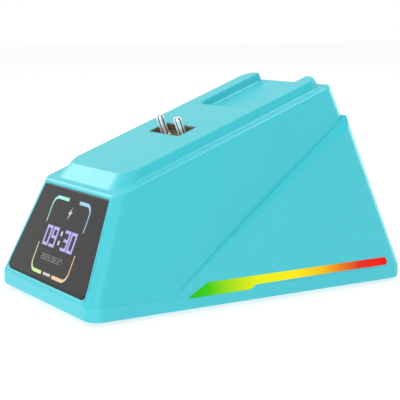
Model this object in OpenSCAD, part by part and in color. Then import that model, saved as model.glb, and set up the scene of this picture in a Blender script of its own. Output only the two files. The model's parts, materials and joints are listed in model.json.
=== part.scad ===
// Free-standing charging dock: a wedge body with a sloped display on its nose, a raised platform
// with two sprung contact pins on its inclined top, and a light bar low on each side.
// Millimetres. The origin is the centre of the footprint, on the surface that the feet stand on.
// +Z is up, the display faces -Y and the dock is symmetric about X = 0.

/* [Body] */
// Length of the footprint, front to rear
body_len = 122; // [116:1:130]
// Width of the footprint
body_w = 68.4; // [66:0.2:74]
// Height of the base skirt
skirt_h = 4.6; // [4.2:0.1:5.4]
// Plan radius of the vertical corners
corner_r = 5; // [4:0.5:6]
// Wall thickness of the mouldings
wall = 2.2; // [2:0.1:2.6]

/* [Sloped top] */
// How far the front edge of the top stands behind the front of the skirt
nose_back = 13.3; // [12:0.1:15]
// Height of the front edge of the top above the skirt
nose_rise = 31.3; // [29:0.1:34]
// Angle of the top above level
top_angle = 20.8; // [18:0.1:23]
// Length of the top along the slope
top_len = 88.1; // [84:0.1:90]
// Width of the top
top_w = 53; // [51:0.2:55]

/* [Rear cowl] */
// Angle of the seam between the top housing and the cowl, above level
seam_angle = 36.3; // [34:0.1:38]
// Distance from the front of the skirt to the point where the seam meets it
seam_start = 28.6; // [26:0.2:32]
// Lean of the cowl's sides from upright
cowl_side_lean = 4.3; // [3.6:0.1:4.6]
// Lean of the cowl's rear from upright
cowl_rear_lean = 22.2; // [21.4:0.1:22.4]

/* [Platform] */
// Width of the platform's flat top
plat_w = 41.2; // [39:0.2:43]
// Height of the platform above the ledge
plat_h = 3.1; // [2.8:0.1:3.6]
// Distance along the slope from the top's front edge to the platform's flat top
plat_start = 7.6; // [7:0.1:9]
// Width of the trough between the two rear rails
trough_w = 27.2; // [25:0.2:29]
// Distance along the slope from the top's front edge to the trough
trough_start = 59.3; // [57:0.1:61]

/* [Charging contacts] */
// Distance along the slope from the top's front edge to the contact pins
contact_s = 38.9; // [37:0.1:41]
// Distance between the two contact pins
pin_pitch = 11.3; // [10.6:0.1:12]
// Radius of a contact pin
pin_r = 1.4; // [1.2:0.05:1.5]
// Height of a pin's tip above the ledge
pin_tip = 8; // [7:0.1:9]
// Width of the contact opening
opening_w = 19.8; // [19:0.1:21]
// Length of the contact opening along the slope
opening_l = 7.6; // [7:0.1:8]
// How far a pin sinks when a device sits on it
pin_travel = 2; // [1:0.1:2.4]

/* [Display] */
// Width of the window along its lower edge
window_w_low = 58.8; // [56:0.2:60]
// Width of the window along its upper edge
window_w_high = 45.8; // [44:0.2:46.6]
// Distance up the face from the skirt to the window's lower edge
window_low = 1.7; // [1.5:0.1:2.2]
// Distance up the face from the skirt to the window's upper edge
window_high = 32.55; // [31.8:0.05:32.8]

/* [Light bars] */
// Height of the light bar's upper edge above the floor
bar_top = 8.8; // [8.6:0.1:9.2]
// Height of the light bar's lower edge above the floor
bar_low = 6.2; // [6:0.1:6.4]
// Distance from the front of the skirt to the bar's pointed tip
bar_start = 33.4; // [32.8:0.1:35]
// Distance from the front of the skirt to the bar's rear end
bar_end = 114.6; // [112:0.1:115]

/* [Feet] */
// How far the rubber feet stand below the skirt
foot_drop = 1; // [0.8:0.1:1.4]
// Length of a foot
foot_l = 16; // [14:0.5:17]
// Width of a foot
foot_w = 12; // [10:0.5:12]

/* [Hidden] */

$fn = 48;
eps = 0.01;
far = 200;              // larger than the dock, for cutting solids
fit_gap = 0.1;          // clearance of a part that drops into a pocket
thread_gap = 0.04;      // radial clearance drawn between a screw and its pilot hole
slide_gap = 0.05;       // radial running clearance of a pin in its barrel

aqua = [0.33, 0.80, 0.84];
smoke = [0.10, 0.10, 0.11];
board_green = [0.08, 0.35, 0.20];
steel = [0.72, 0.73, 0.75];
rubber_grey = [0.25, 0.25, 0.26];
black = [0.12, 0.12, 0.13];
brown = [0.26, 0.20, 0.15];
gold = [0.85, 0.70, 0.35];

// ---- places worked out from the driving dimensions ----
base_z = foot_drop;                      // underside of the skirt
crease_z = base_z + skirt_h;             // line where the skirt meets the sloped sides
front_y = -body_len / 2;
rear_y = body_len / 2;
base_hw = body_w / 2;
top_hw = top_w / 2;
top_y = front_y + nose_back;             // front edge of the sloped top
top_z = crease_z + nose_rise;
face_tilt = atan(nose_back / nose_rise); // lean of the display face from upright
rear_base_y = rear_y - 0.7;              // the housing's rear wall runs just inside the cowl's
seam_y = front_y + seam_start;
side_pts = 12;                           // steps along a long side, so that it can twist
corner_pts = 6;                          // steps round a corner

floor_t = 2.4;                           // thickness of the base cover's floor
floor_z = base_z + floor_t;
foot_x = base_hw - 9.7;                  // centres of the feet
foot_y = [front_y + 10.5, rear_y - 10.5];
screw_y = [foot_y[0] + 4.9, foot_y[1]];  // the base screws, hidden by the feet
boss_z = 6.6;                            // lower end of the housings' screw bosses
boss_top = 16;

board_z = 10;                            // underside of the main board
board_t = 1.6;
board_hw = 20;
board_y = [8, 50.8];
post_x = 16.5;
post_y = [12, 42];
port_z = board_z + board_t + 1.7;        // axis of the charging inlet and of the button
port_y = [50, 57.3];
button_x = 14;
button_r = 2.4;
button_travel = 0.8;

ballast_y = [-40, 4];
ballast_hw = 25;
ballast_t = 3.2;
ballast_screw_y = -18;
ballast_screw_x = 20;

bar_t = 2.7;                             // depth of a light guide
bar_proud = 0.15;                        // how far a light guide stands out of the cowl
light_board_x = base_hw - bar_t - 1.9;
light_board_t = 1;
chip_count = 9;
light_post_y = [-8, 16, 40];             // forked posts that hold the light boards
light_plug = [13, 36.5];                 // where the light boards' wires reach the main board
contact_plug_y = 24;                     // where the contacts' wires reach it
plug_h = 3.3;

module_d = 3;                            // depth of the display module's front behind the face
module_t = 2.6;
board_d = module_d + module_t;
window_t = 1.6;
clamp_x = 24;                            // screws that hold the display bracket
clamp_f = 20;
clamp_r = 1.7;
module_hw = 21.5;

block_top = 0.6;                         // floor of the contact recess above the ledge
liner_t = 0.6;                           // wall of the insert that lines the opening
plat_under = plat_h - wall;              // underside of the platform's skin
contact_board_h = -6.2;
contact_board_t = 1.2;
contact_boss_x = 15.4;
barrel_r = 2.3;
barrel_bore_r = 1.9;
barrel_low = -7.2;
barrel_floor = -6.4;
lip_low = 0.3;
collar_h = 1;

// ---- points, rings and skins ----
function unit(v) = v / norm(v);
function arc(cx, cy, r, from, n) =
    [for (i = [0:n]) [cx + r * cos(from + 90 * i / n), cy + r * sin(from + 90 * i / n)]];
function between(p, q, n) = [for (i = [1:n - 1]) p + (q - p) * i / n];

// Rounded rectangle, counter-clockwise, with in-between points so that its sides can twist
function round_rect(hw, y0, y1, r, n = corner_pts, m = side_pts) = concat(
    arc(hw - r, y0 + r, r, -90, n), between([hw, y0 + r], [hw, y1 - r], m),
    arc(hw - r, y1 - r, r, 0, n), between([hw - r, y1], [r - hw, y1], 3),
    arc(r - hw, y1 - r, r, 90, n), between([-hw, y1 - r], [-hw, y0 + r], m),
    arc(r - hw, y0 + r, r, 180, n), between([r - hw, y0], [hw - r, y0], 3));

// A straight-sided outline with each corner rounded to its own radius
function round_corner(a, b, c, r, n) =
    let (u = unit(a - b), v = unit(c - b), half = acos(u * v) / 2,
         centre = b + unit(u + v) * r / sin(half),
         p = b + u * r / tan(half) - centre, q = b + v * r / tan(half) - centre)
    [for (i = [0:n]) centre + r * unit(p * (n - i) / n + q * i / n)];
function round_outline(pts, radii, n = 5) =
    [for (i = [0:len(pts) - 1])
        each round_corner(pts[(i + len(pts) - 1) % len(pts)], pts[i], pts[(i + 1) % len(pts)],
                          radii[i], n)];

function level(ring, z) = [for (p = ring) [p.x, p.y, z]];
function top_point(x, s, h) =
    [x, top_y + s * cos(top_angle) - h * sin(top_angle), top_z + s * sin(top_angle) + h * cos(top_angle)];
function sloped(ring, h) = [for (p = ring) top_point(p.x, p.y, h)];

module skin(rings) {
    n = len(rings[0]);
    last = (len(rings) - 1) * n;
    polyhedron(points = [for (r = rings) each r], convexity = 6, faces = concat(
        [[for (i = [0:n - 1]) i]],
        [[for (i = [n - 1:-1:0]) last + i]],
        [for (k = [0:len(rings) - 2], i = [0:n - 1])
            [k * n + i, (k + 1) * n + i, (k + 1) * n + (i + 1) % n]],
        [for (k = [0:len(rings) - 2], i = [0:n - 1])
            [k * n + i, (k + 1) * n + (i + 1) % n, k * n + (i + 1) % n]]));
}

// A round tube along a path; up is any direction that the path never runs along
module tube(path, r, up = [1, 0, 0], sides = 8) {
    n = len(path);
    skin([for (i = [0:n - 1])
        let (t = unit(path[min(i + 1, n - 1)] - path[max(i - 1, 0)]),
             u = unit(cross(up, t)), v = cross(t, u))
        [for (k = [0:sides - 1])
            path[i] + r * (cos(360 * k / sides) * u + sin(360 * k / sides) * v)]]);
}
function bezier(a, b, c, d, n = 12) = [for (i = [0:n]) let (t = i / n, s = 1 - t)
    s * s * s * a + 3 * s * s * t * b + 3 * s * t * t * c + t * t * t * d];

// ---- places ----
module on_top(x = 0, s = 0, h = 0) {
    translate([0, top_y, top_z]) rotate([top_angle, 0, 0]) translate([x, s, h]) children();
}
module on_face(x = 0, f = 0, d = 0) {
    translate([0, front_y, crease_z]) rotate([90 - face_tilt, 0, 0]) translate([x, f, -d]) children();
}
module both_sides() {
    children();
    mirror([1, 0, 0]) children();
}
module at_feet() {
    for (x = [-foot_x, foot_x], y = foot_y) translate([x, y, 0]) children();
}
module at_screws() {
    for (x = [-foot_x, foot_x], y = screw_y) translate([x, y, 0]) children();
}
module slab(x0, x1, y0, y1, z0, z1) {
    translate([x0, y0, z0]) cube([x1 - x0, y1 - y0, z1 - z0]);
}
module rod(r, z0, z1) {
    translate([0, 0, z0]) cylinder(r = r, h = z1 - z0);
}
module screw(shank_r, shank_l, head_r, head_h) {
    rod(head_r, 0, head_h);
    rod(shank_r, head_h - eps, head_h + shank_l);
}

// ---- the dock's outer and inner forms ----
// Wedge from the crease up to the ledge plane, shrunk all round by a wall's thickness
module wedge(inset = 0) {
    face_run = inset / cos(face_tilt);
    top_front = inset * tan((90 - face_tilt - top_angle) / 2);
    drop = inset > 0 ? 1 : 0;            // the inner form runs out through the open underside
    skin([
        level(round_rect(base_hw - inset, front_y + face_run - drop * tan(face_tilt), rear_base_y - face_run,
                         corner_r - inset / 2), crease_z - drop),
        sloped(round_rect(top_hw - inset, top_front, top_len - inset, corner_r - 1 - inset / 2),
               -inset)
    ]);
}
module cowl_form() {
    h = 55;
    skin([
        level(round_rect(base_hw, front_y, rear_y, corner_r), crease_z),
        level(round_rect(base_hw - h * tan(cowl_side_lean), front_y, rear_y - h * tan(cowl_rear_lean),
                         corner_r), crease_z + h)
    ]);
}
module above_seam(gap = 0) {
    translate([0, seam_y, crease_z]) rotate([seam_angle, 0, 0])
        translate([-far / 2, -far, gap]) cube([far, 2 * far, far]);
}
module below_seam() {
    translate([0, seam_y, crease_z]) rotate([seam_angle, 0, 0])
        translate([-far / 2, -far, -far]) cube([far, 2 * far, far]);
}

// Everything on the inner side of the plane through three points, whose normal points outwards
module inside_plane(a, b, c) {
    n = unit(cross(b - a, c - a));
    u = unit(b - a);
    v = cross(n, u);
    multmatrix([[u.x, v.x, n.x, a.x], [u.y, v.y, n.y, a.y], [u.z, v.z, n.z, a.z], [0, 0, 0, 1]])
        translate([-far, -far, -2 * far]) cube([2 * far, 2 * far, 2 * far]);
}

// The cowl stands proud of the housing, and this bevel brings its edge back to the seam
seam_low = [base_hw, seam_y, crease_z];
bevel_high = [28.2, rear_y - 27.8, 53.9];
bevel_low = [30.8, rear_y - 28.3, 50.1];
rear_bevel = [rear_y - 22.2, 58];
module bevelled() {
    intersection() {
        children();
        inside_plane(seam_low, bevel_low, bevel_high);
        mirror([1, 0, 0]) inside_plane(seam_low, bevel_low, bevel_high);
        translate([0, rear_bevel[0], rear_bevel[1]]) rotate([-50, 0, 0])
            translate([-far / 2, -far, -far]) cube([far, 2 * far, far]);
    }
}

// Side view of the light bar's slot: pointed at the front, deeper there, narrow to the rear
module bar_outline(gap = 0) {
    tip = front_y + bar_start;
    tail = front_y + bar_end;
    low = crease_z - 0.95;
    polygon([
        [tip - 2 * gap, low - gap], [tip + 23.6, low - gap], [tip + 25.9, bar_low - gap],
        [tail + gap, bar_low - gap], [tail - 1.2 + gap, bar_top + gap], [tip + 7.6 - gap, bar_top + gap]
    ]);
}
module bar_prism(x0, x1, gap = 0) {
    translate([x0, 0, 0]) rotate([90, 0, 90]) linear_extrude(x1 - x0) bar_outline(gap);
}

// Outline of the display window, shrunk on every side
function window_outline(inset) = [
    [-window_w_low / 2 + inset, window_low + inset], [window_w_low / 2 - inset, window_low + inset],
    [window_w_high / 2 - inset, window_high - inset], [inset - window_w_high / 2, window_high - inset]];
module window_plate(inset, d0, d1) {
    on_face(0, 0, d1) linear_extrude(d1 - d0)
        polygon(round_outline(window_outline(inset), [2, 2, 1.2, 1.2]));
}

// Outline of the contact opening, grown on every side
function opening_outline(by) =
    round_rect(opening_w / 2 + by, -opening_l / 2 - by, opening_l / 2 + by, 0.8 + by, m = 1);

// ---- mouldings ----
module platform() {
    draft_side = 2.1;
    draft_front = 5.4;
    sunk = 1;
    k = (plat_h + sunk) / plat_h;
    difference() {
        skin([
            sloped(round_rect(plat_w / 2 + draft_side * k, plat_start - draft_front * k, top_len, 7),
                   -sunk),
            sloped(round_rect(plat_w / 2, plat_start, top_len - 0.2, 6), plat_h)
        ]);
        on_top() translate([0, 0, -2]) linear_extrude(10) polygon(round_outline([
            [-trough_w / 2, trough_start], [trough_w / 2, trough_start],
            [trough_w / 2, top_len + 5], [-trough_w / 2, top_len + 5]], [3, 3, 1, 1]));
    }
}
module main_housing() {
    $fn = 24;
    color(aqua) difference() {
        union() {
            intersection() {
                difference() {
                    wedge();
                    wedge(wall);
                }
                above_seam(fit_gap);
            }
            platform();
            // bosses for the base screws, tied to the side walls
            for (x = [-foot_x, foot_x]) translate([x, screw_y[0], 0]) rod(3, boss_z, boss_top);
            both_sides() slab(foot_x, base_hw - 3, screw_y[0] - 1, screw_y[0] + 1, 8, 13);
            // bosses that hold the contact board
            for (x = [-contact_boss_x, contact_boss_x])
                on_top(x, contact_s) rod(2.4, contact_board_h + contact_board_t, plat_under + 1);
            // bosses that hold the display bracket
            for (x = [-clamp_x, clamp_x]) on_face(x, clamp_f, 0) rod(clamp_r, -board_d - 1.2, -wall + 0.5);
        }
        // room under the platform's skin, round the contact block
        difference() {
            on_top() translate([0, 0, -wall - 1]) linear_extrude(wall + 1 + plat_under)
                polygon(round_rect(17.2, 12, 56, 4, m = 2));
            for (x = [-contact_boss_x, contact_boss_x]) on_top(x, contact_s) rod(2.4, -10, 5);
        }
        // opening for the contacts
        on_top(0, contact_s) linear_extrude(10) polygon(opening_outline(0));
        // seat of the window and the hole behind it
        window_plate(-fit_gap, -5, window_t + 0.1);
        window_plate(2, 0, wall + 1);
        // pilot holes
        for (x = [-foot_x, foot_x]) translate([x, screw_y[0], 0]) rod(1.25 + thread_gap, 0, 15);
        for (x = [-contact_boss_x, contact_boss_x])
            on_top(x, contact_s) rod(1 + thread_gap, -8, -0.5);
        for (x = [-clamp_x, clamp_x]) on_face(x, clamp_f, 0) rod(0.8 + thread_gap, -10, -3);
    }
}
module rear_cowl() {
    color(aqua) difference() {
        union() {
            difference() {
                bevelled() intersection() {
                    cowl_form();
                    below_seam();
                }
                wedge(wall);
            }
            // bosses for the base screws, tied to the side walls
            for (x = [-foot_x, foot_x]) translate([x, screw_y[1], 0]) rod(3, boss_z, boss_top);
            both_sides() slab(foot_x, 32, screw_y[1] - 1, screw_y[1] + 1, 9.6, boss_top);
        }
        both_sides() bar_prism(base_hw - 4, base_hw + 5, fit_gap);
        for (x = [-foot_x, foot_x]) translate([x, screw_y[1], 0]) rod(1.25 + thread_gap, 0, 15);
        // mouth for the charging inlet
        translate([0, rear_y, port_z]) rotate([90, 0, 0]) translate([0, 0, -5]) linear_extrude(20)
            polygon(round_rect(4.7, -1.85, 1.85, 1.8, m = 1));
        // guide hole for the button
        translate([button_x, rear_y, port_z]) rotate([90, 0, 0]) rod(button_r + 0.08, -5, 20);
    }
}
module base_cover() {
    color(aqua * 0.96) difference() {
        union() {
            difference() {
                translate([0, 0, base_z]) linear_extrude(skirt_h)
                    polygon(round_rect(base_hw, front_y, rear_y, corner_r));
                translate([0, 0, floor_z]) linear_extrude(skirt_h)
                    polygon(round_rect(base_hw - wall, front_y + wall, rear_y - wall, corner_r - wall));
            }
            // locating bars that stand inside the mouldings
            slab(-14, 14, front_y + 4, front_y + 5.4, floor_z - eps, crease_z + 0.8);
            slab(-14, 14, rear_y - 6.6, rear_y - 5.2, floor_z - eps, crease_z + 2.2);
            at_screws() rod(4, floor_z - eps, boss_z);
            for (x = [-post_x, post_x], y = post_y) translate([x, y, 0]) rod(2.6, floor_z - eps, board_z);
            // rim that locates the ballast plate
            difference() {
                slab(-ballast_hw - 1.6, ballast_hw + 1.6, ballast_y[0] - 1.6, ballast_y[1] + 1.6,
                     floor_z - eps, floor_z + 1.6);
                slab(-ballast_hw - 0.1, ballast_hw + 0.1, ballast_y[0] - 0.1, ballast_y[1] + 0.1,
                     floor_z - 1, floor_z + 5);
            }
            // forked posts that hold the light boards upright
            both_sides() for (y = light_post_y) difference() {
                slab(light_board_x - 2.2, light_board_x + 1.6, y - 1.5, y + 1.5, floor_z - eps, 8);
                slab(light_board_x - light_board_t - 0.1, light_board_x + 0.1, y - 2, y + 2, 4.9, 9);
                slab(light_board_x, light_board_x + 2, y - 2, y + 2, 4.6, 9);
            }
        }
        both_sides() bar_prism(base_hw - bar_t - 0.1, base_hw + 5, fit_gap);
        at_feet() translate([0, 0, base_z - eps]) linear_extrude(1 + eps) polygon(foot_outline(fit_gap));
        at_screws() {
            rod(2.9, base_z, base_z + 3);
            rod(1.5, base_z, 10);
        }
        for (x = [-post_x, post_x], y = post_y) translate([x, y, 0]) rod(1 + thread_gap, floor_z, 20);
        for (x = [-ballast_screw_x, ballast_screw_x]) translate([x, ballast_screw_y, 0])
            rod(1.25 + thread_gap, base_z + 0.8, 20);
    }
}

// ---- display ----
module display_window() {
    color(smoke) window_plate(0, 0, window_t);
}
module display_gasket() {
    color(black) difference() {
        window_plate(1.2, wall + 0.15, module_d);
        window_plate(2.4, wall - 1, module_d + 1);
        for (x = [-clamp_x, clamp_x]) on_face(x, clamp_f, 0) rod(clamp_r + 0.1, -board_d, 0);
    }
}
module display_module() {
    color([0.2, 0.2, 0.22]) intersection() {
        window_plate(2, module_d, board_d);
        on_face(-module_hw, 0, 20) cube([2 * module_hw, 40, 20]);
    }
}
module display_board() {
    color(board_green) intersection() {
        window_plate(2.6, board_d, board_d + 1.2);
        on_face(0.4 - module_hw, 0, 20) cube([2 * module_hw - 0.8, 40, 20]);
    }
}
module display_bracket() {
    d = board_d + 1.2;
    color(steel) on_face(0, clamp_f, 0) difference() {
        slab(-clamp_x - 2, clamp_x + 2, -3, 3, -d - 1, -d);
        for (x = [-clamp_x, clamp_x]) translate([x, 0, 0]) rod(1, -d - 5, 0);
        slab(-17, 17, -1.2, 1.2, -d - 5, 0);
    }
}
module display_screws() {
    d = board_d + 2.2;
    color(steel) for (x = [-clamp_x, clamp_x]) on_face(x, clamp_f, d + 0.9) screw(0.8, 4.6, 1.6, 0.9);
}
module display_ribbon() {
    t = 0.3;
    d = board_d + 1.2 + t;
    f = 6;
    start = [front_y + f * sin(face_tilt) + d * cos(face_tilt),
             crease_z + f * cos(face_tilt) - d * sin(face_tilt)];
    plug = [board_y[0] + 1.3, board_z + board_t + 1.2];
    line = bezier(start, start + [9, 2], plug - [20, 0], plug, 16);
    color([0.85, 0.62, 0.30]) translate([5, 0, 0]) rotate([0, -90, 0]) linear_extrude(10)
        polygon(concat([for (p = line) [p[1], p[0]]],
                       [for (i = [len(line) - 1:-1:0]) [line[i][1] + t, line[i][0]]]));
}

// ---- charging contacts, along the normal of the sloped top ----
module contact_block() {
    color(brown) on_top(0, contact_s) difference() {
        union() {
            translate([0, 0, contact_board_h + contact_board_t])
                linear_extrude(plat_under - contact_board_h - contact_board_t)
                    polygon(round_rect(12.6, -6.4, 6.4, 1, m = 1));
            linear_extrude(plat_h - 0.2) polygon(opening_outline(-0.05));
        }
        translate([0, 0, block_top]) linear_extrude(5) polygon(opening_outline(-liner_t));
        for (x = [-pin_pitch / 2, pin_pitch / 2]) translate([x, 0, 0]) rod(barrel_r + thread_gap, -10, 10);
    }
}
module contact_board() {
    color(board_green) on_top(0, contact_s, contact_board_h) difference() {
        linear_extrude(contact_board_t) polygon(round_rect(18, -6.8, 6.8, 1, m = 1));
        for (x = [-pin_pitch / 2, pin_pitch / 2]) translate([x, 0, 0]) rod(barrel_r + thread_gap, -1, 5);
        for (x = [-contact_boss_x, contact_boss_x]) translate([x, 0, 0]) rod(1.2, -1, 5);
    }
}
module contact_board_screws() {
    color(steel) for (x = [-contact_boss_x, contact_boss_x])
        on_top(x, contact_s, contact_board_h - 1.1) screw(1, 5.4, 1.9, 1.1);
}
module contact_barrel(side) {
    color(gold) on_top(side * pin_pitch / 2, contact_s) difference() {
        union() {
            rod(barrel_r, barrel_low, plat_under);
            rod(0.5, barrel_low - 1.4, barrel_low + eps);
        }
        rod(barrel_bore_r, barrel_floor, lip_low);
        rod(pin_r + slide_gap, barrel_floor, 5);
    }
}
module contact_pin(side) {
    top = lip_low - slide_gap;
    color(steel) on_top(side * pin_pitch / 2, contact_s) {
        rod(barrel_bore_r - slide_gap, top - collar_h, top);
        rod(pin_r, top - eps, pin_tip - pin_r);
        translate([0, 0, pin_tip - pin_r]) sphere(r = pin_r);
    }
}
module contact_spring(side) {
    turns = 6;
    steps = 10;
    wire_r = 0.18;
    coil_r = 1.4;
    low = barrel_floor + wire_r + 0.02;
    high = lip_low - slide_gap - collar_h - wire_r - 0.02;
    color(steel) on_top(side * pin_pitch / 2, contact_s)
        tube([for (i = [0:turns * steps])
            [coil_r * cos(360 * i / steps), coil_r * sin(360 * i / steps),
             low + (high - low) * i / turns / steps]],
            wire_r, up = [0, 0, 1], sides = 6);
}
module contact_wires() {
    wire_r = 0.5;
    color([0.75, 0.1, 0.1]) for (side = [-1, 1]) {
        a = top_point(side * 7.6, contact_s + 4.6, contact_board_h - 0.05);
        leave = top_point(side * 7.6, contact_s + 4.6, contact_board_h - 9);
        b = [side * 1.2, contact_plug_y, board_z + board_t + plug_h + 0.05];
        tube(bezier(a, leave, b + [0, 0, 10], b), wire_r, sides = 8);
    }
}

// ---- light bars ----
module light_guide(side) {
    color([0.85, 0.9, 0.3]) on_side(side) intersection() {
        bar_prism(base_hw - bar_t, base_hw + 3);
        inside_plane([base_hw + bar_proud, 0, crease_z], [base_hw + bar_proud, 10, crease_z],
                     [base_hw + bar_proud - tan(cowl_side_lean), 0, crease_z + 1]);
    }
}
module on_side(side) {
    if (side > 0) children();
    else mirror([1, 0, 0]) children();
}
module light_board(side) {
    x = light_board_x;
    color(board_green) on_side(side)
        slab(x - light_board_t, x, front_y + bar_start + 6, front_y + bar_end - 5, 5, 9.2);
}
module light_chips(side) {
    y0 = front_y + bar_start + 10;
    y1 = front_y + bar_end - 8;
    color([0.95, 0.95, 0.9]) on_side(side) for (i = [0:chip_count - 1]) {
        y = y0 + (y1 - y0) * i / (chip_count - 1);
        slab(light_board_x, light_board_x + 1.2, y - 1.25, y + 1.25, 6.2, 8.7);
    }
}
module light_wires(side) {
    wire_r = 0.6;
    a = [side * (light_board_x - light_board_t - wire_r - 0.05), front_y + bar_end - 9, 7.4];
    b = [side * light_plug.x, light_plug.y, board_z + board_t + plug_h + 0.05];
    color([0.2, 0.2, 0.2]) tube(bezier(a, a - [side * 3, 1, -9], b + [0, 0, 8], b),
                                wire_r, up = [0, 1, 0.3], sides = 8);
}

// ---- electronics in the base ----
module main_board() {
    color(board_green) difference() {
        slab(-board_hw, board_hw, board_y[0], board_y[1], board_z, board_z + board_t);
        for (x = [-post_x, post_x], y = post_y) translate([x, y, 0]) rod(1.2, 0, 20);
    }
}
module board_screws() {
    head = 1.2;
    color(steel) for (x = [-post_x, post_x], y = post_y)
        translate([x, y, board_z + board_t + head]) mirror([0, 0, 1]) screw(1, board_t + 4.5, 2, head);
}
module controller_chips() {
    top = board_z + board_t;
    color(black) {
        slab(-4, 4, 29, 37, top, top + 1.2);
        slab(-15, -9, 27, 33, top, top + 1);
        slab(6.5, 10.5, 29, 33, top, top + 1.1);
    }
}
module power_inductor() {
    color([0.3, 0.3, 0.32]) slab(-9.5, -3.5, 40, 46, board_z + board_t, board_z + board_t + 3.2);
}
module filter_capacitors() {
    color([0.6, 0.6, 0.62]) for (y = [16.5, 22.5])
        translate([-13, y, 0]) rod(2.5, board_z + board_t, board_z + board_t + 6);
}
module board_connectors() {
    top = board_z + board_t;
    color([0.92, 0.9, 0.82]) {
        slab(-5.6, 5.6, 9.4, 13.4, top + 0.75, top + 2.2);
        slab(-3, 3, contact_plug_y - 2.5, contact_plug_y + 2.5, top, top + plug_h);
        both_sides() slab(light_plug.x - 2.4, light_plug.x + 2.4, light_plug.y - 2.2, light_plug.y + 2.2,
                          top, top + plug_h);
    }
}
module usb_c_port() {
    color(steel) translate([0, port_y[1], port_z]) rotate([90, 0, 0]) {
        difference() {
            linear_extrude(port_y[1] - port_y[0]) polygon(round_rect(4.47, -1.63, 1.63, 1.6, m = 1));
            translate([0, 0, -1]) linear_extrude(6.5) polygon(round_rect(4.17, -1.33, 1.33, 1.3, m = 1));
        }
        translate([-3.3, -0.35, 0.9]) cube([6.6, 0.7, 5]);
    }
}
module mode_switch() {
    color(black) {
        slab(button_x - 3, button_x + 3, 46.5, 50.5, board_z + board_t, board_z + board_t + 3.4);
        translate([button_x, 50.4, port_z]) rotate([-90, 0, 0]) rod(1, 0, 0.6);
    }
}
module mode_button() {
    wall_y = rear_y - (port_z - crease_z) * tan(cowl_rear_lean);
    flange_y = 51.1 + button_travel + 1;
    color([0.85, 0.87, 0.88]) translate([button_x, 0, port_z]) rotate([-90, 0, 0]) {
        rod(3, flange_y - 1, flange_y);
        rod(button_r, flange_y - eps, wall_y + 1.1);
    }
}

// ---- weight, feet and fasteners of the base ----
module ballast_plate() {
    color([0.45, 0.46, 0.48]) difference() {
        slab(-ballast_hw, ballast_hw, ballast_y[0], ballast_y[1], floor_z, floor_z + ballast_t);
        for (x = [-ballast_screw_x, ballast_screw_x]) translate([x, ballast_screw_y, 0]) rod(1.6, 0, 20);
    }
}
module ballast_screws() {
    top = floor_z + ballast_t + 1.3;
    color(steel) for (x = [-ballast_screw_x, ballast_screw_x])
        translate([x, ballast_screw_y, top]) mirror([0, 0, 1]) screw(1.25, ballast_t + 1.4, 2.4, 1.3);
}
module base_screws() {
    color(steel) at_screws() translate([0, 0, base_z + 1.3]) screw(1.25, 11, 2.6, 1.6);
}
function foot_outline(gap) = round_rect(foot_w / 2 + gap, -foot_l / 2 - gap, foot_l / 2 + gap, 5, m = 1);
module foot(side, end) {
    color(rubber_grey) translate([side * foot_x, foot_y[end], 0]) linear_extrude(base_z + 1)
        polygon(foot_outline(0));
}

main_housing();
rear_cowl();
base_cover();
display_window();
display_gasket();
display_module();
display_board();
display_bracket();
display_screws();
display_ribbon();
contact_block();
contact_board();
contact_board_screws();
contact_wires();
contact_pin(-1);  // contact_pin_left
contact_pin(1);  // contact_pin_right
contact_barrel(-1);  // contact_barrel_left
contact_barrel(1);  // contact_barrel_right
contact_spring(-1);  // contact_spring_left
contact_spring(1);  // contact_spring_right
light_guide(-1);  // light_guide_left
light_guide(1);  // light_guide_right
light_board(-1);  // light_board_left
light_board(1);  // light_board_right
light_chips(-1);  // light_chips_left
light_chips(1);  // light_chips_right
light_wires(-1);  // light_wires_left
light_wires(1);  // light_wires_right
main_board();
board_screws();
controller_chips();
power_inductor();
filter_capacitors();
board_connectors();
usb_c_port();
mode_switch();
mode_button();
ballast_plate();
ballast_screws();
base_screws();
foot(-1, 0);  // foot_front_left
foot(1, 0);  // foot_front_right
foot(-1, 1);  // foot_rear_left
foot(1, 1);  // foot_rear_right
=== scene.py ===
"""Free-standing charging dock: its visible pieces, their materials, the studio and the camera."""
import json
import math

import bmesh
import bpy
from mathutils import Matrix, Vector
from mathutils.geometry import tessellate_polygon


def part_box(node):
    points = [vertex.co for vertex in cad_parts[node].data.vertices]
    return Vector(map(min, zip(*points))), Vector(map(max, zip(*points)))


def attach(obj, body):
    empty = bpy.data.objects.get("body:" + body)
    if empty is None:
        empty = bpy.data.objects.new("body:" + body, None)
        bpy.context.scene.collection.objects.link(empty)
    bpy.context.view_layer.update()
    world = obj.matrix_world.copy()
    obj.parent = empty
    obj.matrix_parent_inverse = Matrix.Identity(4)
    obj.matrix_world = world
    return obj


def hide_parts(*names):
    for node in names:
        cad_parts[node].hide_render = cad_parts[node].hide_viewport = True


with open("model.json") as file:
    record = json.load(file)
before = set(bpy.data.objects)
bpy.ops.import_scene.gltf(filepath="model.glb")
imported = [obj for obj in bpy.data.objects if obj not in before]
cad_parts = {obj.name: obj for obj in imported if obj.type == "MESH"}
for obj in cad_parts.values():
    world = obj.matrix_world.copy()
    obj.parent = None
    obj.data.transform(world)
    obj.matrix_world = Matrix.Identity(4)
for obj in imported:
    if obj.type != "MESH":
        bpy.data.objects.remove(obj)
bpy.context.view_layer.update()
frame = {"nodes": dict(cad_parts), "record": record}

MM = 0.001
X, Y = Vector((1, 0, 0)), Vector((0, 1, 0))

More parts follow.
